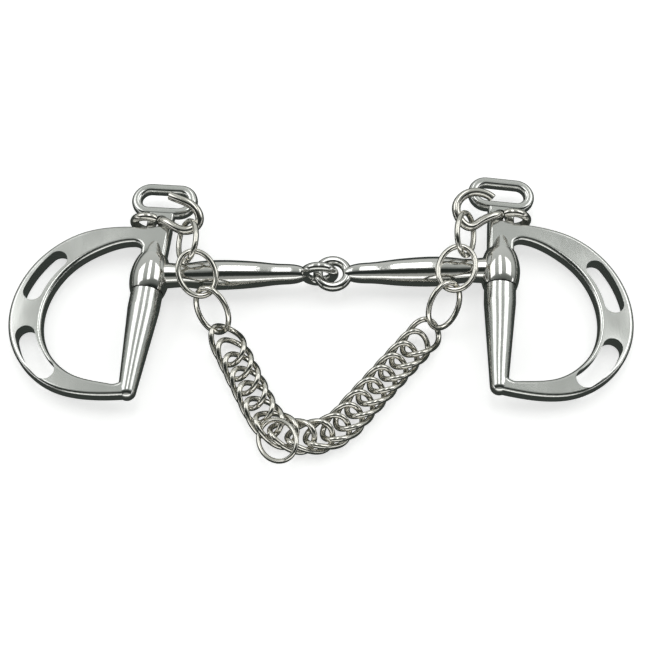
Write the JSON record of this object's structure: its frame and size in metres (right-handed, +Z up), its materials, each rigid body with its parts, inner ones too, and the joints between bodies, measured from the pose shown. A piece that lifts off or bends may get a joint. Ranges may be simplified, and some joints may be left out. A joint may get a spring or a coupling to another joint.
{
  "type": "curb bit",
  "caption": "Kimblewick curb bit with slotted D cheeks, jointed mouthpiece, curb hooks and a twisted-link curb chain with a lip-strap ring, lying flat.",
  "frame": {"origin": "on the surface that the bit lies on, under the middle of its bounding box", "axes": "+X along the mouthpiece, +Y towards the bridle eyes, +Z up off the surface"},
  "size_m": [0.2676, 0.1366, 0.0253],
  "materials": {
    "cheek_steel": "mirror-polished stainless steel",
    "mouthpiece_steel": "mirror-polished stainless steel",
    "hook_steel": "mirror-polished stainless steel",
    "chain_steel": "mirror-polished stainless steel"
  },
  "bodies": {
    "right_half": {"right_mouth_half": "mouthpiece_steel"},
    "left_half": {"left_mouth_half": "mouthpiece_steel"},
    "right_cheek": {"right_cheek": "cheek_steel"},
    "left_cheek": {"left_cheek": "cheek_steel"},
    "right_hook": {"right_curb_hook": "hook_steel"},
    "left_hook": {"left_curb_hook": "hook_steel"},
    "right_end_ring_1": {"right_end_ring_1": "chain_steel"},
    "right_end_ring_2": {"right_end_ring_2": "chain_steel"},
    "right_end_ring_3": {"right_end_ring_3": "chain_steel"},
    "curb_link_18": {"curb_link_18": "chain_steel"},
    "curb_link_17": {"curb_link_17": "chain_steel"},
    "curb_link_16": {"curb_link_16": "chain_steel"},
    "curb_link_15": {"curb_link_15": "chain_steel"},
    "curb_link_14": {"curb_link_14": "chain_steel"},
    "curb_link_13": {"curb_link_13": "chain_steel"},
    "curb_link_12": {"curb_link_12": "chain_steel"},
    "curb_link_11": {"curb_link_11": "chain_steel"},
    "curb_link_10": {"curb_link_10": "chain_steel"},
    "curb_link_09": {"curb_link_09": "chain_steel"},
    "curb_link_08": {"curb_link_08": "chain_steel"},
    "curb_link_07": {"curb_link_07": "chain_steel"},
    "curb_link_06": {"curb_link_06": "chain_steel"},
    "curb_link_05": {"curb_link_05": "chain_steel"},
    "curb_link_04": {"curb_link_04": "chain_steel"},
    "curb_link_03": {"curb_link_03": "chain_steel"},
    "curb_link_02": {"curb_link_02": "chain_steel"},
    "curb_link_01": {"curb_link_01": "chain_steel"},
    "left_end_ring_3": {"left_end_ring_3": "chain_steel"},
    "left_end_ring_2": {"left_end_ring_2": "chain_steel"},
    "left_end_ring_1": {"left_end_ring_1": "chain_steel"},
    "fly_ring": {"fly_ring": "chain_steel"}
  },
  "joints": [
    {"name": "centre_fold", "type": "hinge", "parent": "right_half", "child": "left_half", "pos_m": [0.00208, 0.02015, 0.0086], "axis": [0, -1, 0], "range_deg": [-12, 0]},
    {"name": "right_cheek_turn", "type": "hinge", "parent": "right_half", "child": "right_cheek", "pos_m": [0.07749, 0.02204, 0.0086], "axis": [0.061, 0.9981, 0], "range_deg": [-8, 4]},
    {"name": "right_hook_turn", "type": "hinge", "parent": "right_cheek", "child": "right_hook", "pos_m": [0.07908, 0.04789, 0.0086], "axis": [0.061, 0.9981, 0], "range_deg": [-4, 8]},
    {"name": "left_cheek_turn", "type": "hinge", "parent": "left_half", "child": "left_cheek", "pos_m": [-0.07379, 0.01919, 0.0086], "axis": [0.1219, 0.9925, 0], "range_deg": [-4, 8]},
    {"name": "left_hook_turn", "type": "hinge", "parent": "left_cheek", "child": "left_hook", "pos_m": [-0.07063, 0.0449, 0.0086], "axis": [0.1219, 0.9925, 0], "range_deg": [-8, 4]},
    {"name": "chain_swing", "type": "hinge", "parent": "right_hook", "child": "right_end_ring_1", "pos_m": [0.06417, 0.04345, 0.0163], "axis": [-0.9994, -0.0316, -0.0114], "range_deg": [0, 5]},
    {"name": "right_end_ring_2_rock", "type": "hinge", "parent": "right_end_ring_1", "child": "right_end_ring_2", "pos_m": [0.05797, 0.0183, 0.01695], "axis": [-0.2891, -0.9425, -0.1677], "range_deg": [-1.5, 1.5]},
    {"name": "right_end_ring_3_rock", "type": "hinge", "parent": "right_end_ring_2", "child": "right_end_ring_3", "pos_m": [0.05797, 0.0183, 0.01695], "axis": [-0.2891, -0.9425, -0.1677], "range_deg": [-1.5, 1.5]},
    {"name": "curb_link_18_rock", "type": "hinge", "parent": "right_end_ring_3", "child": "curb_link_18", "pos_m": [0.04258, -0.00937, 0.0042], "axis": [0.6456, 0.7637, 0], "range_deg": [-1, 1]},
    {"name": "curb_link_17_rock", "type": "hinge", "parent": "curb_link_18", "child": "curb_link_17", "pos_m": [0.04258, -0.00937, 0.0042], "axis": [0.6456, 0.7637, 0], "range_deg": [-1, 1]},
    {"name": "curb_link_16_rock", "type": "hinge", "parent": "curb_link_17", "child": "curb_link_16", "pos_m": [0.03302, -0.02068, 0.0042], "axis": [0.6456, 0.7637, 0], "range_deg": [-1, 1]},
    {"name": "curb_link_15_rock", "type": "hinge", "parent": "curb_link_16", "child": "curb_link_15", "pos_m": [0.03302, -0.02068, 0.0042], "axis": [0.6456, 0.7637, 0], "range_deg": [-1, 1]},
    {"name": "curb_link_14_rock", "type": "hinge", "parent": "curb_link_15", "child": "curb_link_14", "pos_m": [0.02347, -0.03198, 0.0042], "axis": [0.6456, 0.7637, 0], "range_deg": [-1, 1]},
    {"name": "curb_link_13_rock", "type": "hinge", "parent": "curb_link_14", "child": "curb_link_13", "pos_m": [0.02347, -0.03198, 0.0042], "axis": [0.6456, 0.7637, 0], "range_deg": [-1, 1]},
    {"name": "curb_link_12_fold", "type": "hinge", "parent": "curb_link_13", "child": "curb_link_12", "pos_m": [0.0163, -0.04046, 0.0086], "axis": [0, -1, 0], "range_deg": [-1.44, 0]},
    {"name": "curb_link_11_fold", "type": "hinge", "parent": "curb_link_12", "child": "curb_link_11", "pos_m": [0.01143, -0.04602, 0.0086], "axis": [0, -1, 0], "range_deg": [-1.92, 0]},
    {"name": "curb_link_10_fold", "type": "hinge", "parent": "curb_link_11", "child": "curb_link_10", "pos_m": [0.00581, -0.05068, 0.0086], "axis": [0, -1, 0], "range_deg": [-2.4, 0]},
    {"name": "curb_link_09_fold", "type": "hinge", "parent": "curb_link_10", "child": "curb_link_09", "pos_m": [-0.00093, -0.05337, 0.0086], "axis": [0, -1, 0], "range_deg": [-2.88, 0]},
    {"name": "curb_link_08_fold", "type": "hinge", "parent": "curb_link_09", "child": "curb_link_08", "pos_m": [-0.00819, -0.05369, 0.0086], "axis": [0, -1, 0], "range_deg": [-3.36, 0]},
    {"name": "curb_link_07_rock", "type": "hinge", "parent": "curb_link_08", "child": "curb_link_07", "pos_m": [-0.01844, -0.04996, 0.0042], "axis": [0.8087, -0.5883, 0], "range_deg": [-1, 1]},
    {"name": "curb_link_06_rock", "type": "hinge", "parent": "curb_link_07", "child": "curb_link_06", "pos_m": [-0.01844, -0.04996, 0.0042], "axis": [0.8087, -0.5883, 0], "range_deg": [-1, 1]},
    {"name": "curb_link_05_rock", "type": "hinge", "parent": "curb_link_06", "child": "curb_link_05", "pos_m": [-0.027, -0.03814, 0.0042], "axis": [0.4254, -0.905, 0], "range_deg": [-1, 1]},
    {"name": "curb_link_04_rock", "type": "hinge", "parent": "curb_link_05", "child": "curb_link_04", "pos_m": [-0.027, -0.03814, 0.0042], "axis": [0.4254, -0.905, 0], "range_deg": [-1, 1]},
    {"name": "curb_link_03_rock", "type": "hinge", "parent": "curb_link_04", "child": "curb_link_03", "pos_m": [-0.0333, -0.02474, 0.0042], "axis": [0.4254, -0.905, 0], "range_deg": [-1, 1]},
    {"name": "curb_link_02_rock", "type": "hinge", "parent": "curb_link_03", "child": "curb_link_02", "pos_m": [-0.0333, -0.02474, 0.0042], "axis": [0.4254, -0.905, 0], "range_deg": [-1, 1]},
    {"name": "curb_link_01_rock", "type": "hinge", "parent": "curb_link_02", "child": "curb_link_01", "pos_m": [-0.03959, -0.01135, 0.0042], "axis": [0.4254, -0.905, 0], "range_deg": [-1, 1]},
    {"name": "left_end_ring_3_rock", "type": "hinge", "parent": "curb_link_01", "child": "left_end_ring_3", "pos_m": [-0.03959, -0.01135, 0.0042], "axis": [0.4254, -0.905, 0], "range_deg": [-1, 1]},
    {"name": "left_end_ring_2_rock", "type": "hinge", "parent": "left_end_ring_3", "child": "left_end_ring_2", "pos_m": [-0.05287, 0.0158, 0.0168], "axis": [0.367, -0.8864, -0.2823], "range_deg": [-1.5, 1.5]},
    {"name": "left_end_ring_1_rock", "type": "hinge", "parent": "left_end_ring_2", "child": "left_end_ring_1", "pos_m": [-0.05287, 0.0158, 0.0168], "axis": [0.367, -0.8864, -0.2823], "range_deg": [-1.5, 1.5]},
    {"name": "fly_ring_swing", "type": "hinge", "parent": "curb_link_07", "child": "fly_ring", "pos_m": [-0.01782, -0.05784, 0.00926], "axis": [-0.6007, -0.0676, 0.7966], "range_deg": [-1, 1]}
  ],
  "couplings": [
    {"joint": "right_hook_turn", "follows": "right_cheek_turn", "ratio": -1},
    {"joint": "left_hook_turn", "follows": "left_cheek_turn", "ratio": -1},
    {"joint": "right_end_ring_3_rock", "follows": "right_end_ring_2_rock", "ratio": -1},
    {"joint": "curb_link_17_rock", "follows": "curb_link_18_rock", "ratio": -1},
    {"joint": "curb_link_15_rock", "follows": "curb_link_16_rock", "ratio": -1},
    {"joint": "curb_link_13_rock", "follows": "curb_link_14_rock", "ratio": -1},
    {"joint": "curb_link_12_fold", "follows": "centre_fold", "ratio": 0.12},
    {"joint": "curb_link_11_fold", "follows": "centre_fold", "ratio": 0.16},
    {"joint": "curb_link_10_fold", "follows": "centre_fold", "ratio": 0.2},
    {"joint": "curb_link_09_fold", "follows": "centre_fold", "ratio": 0.24},
    {"joint": "curb_link_08_fold", "follows": "centre_fold", "ratio": 0.28},
    {"joint": "curb_link_06_rock", "follows": "curb_link_07_rock", "ratio": -1},
    {"joint": "curb_link_04_rock", "follows": "curb_link_05_rock", "ratio": -1},
    {"joint": "curb_link_02_rock", "follows": "curb_link_03_rock", "ratio": -1},
    {"joint": "left_end_ring_3_rock", "follows": "curb_link_01_rock", "ratio": -1},
    {"joint": "left_end_ring_1_rock", "follows": "left_end_ring_2_rock", "ratio": -1}
  ]
}
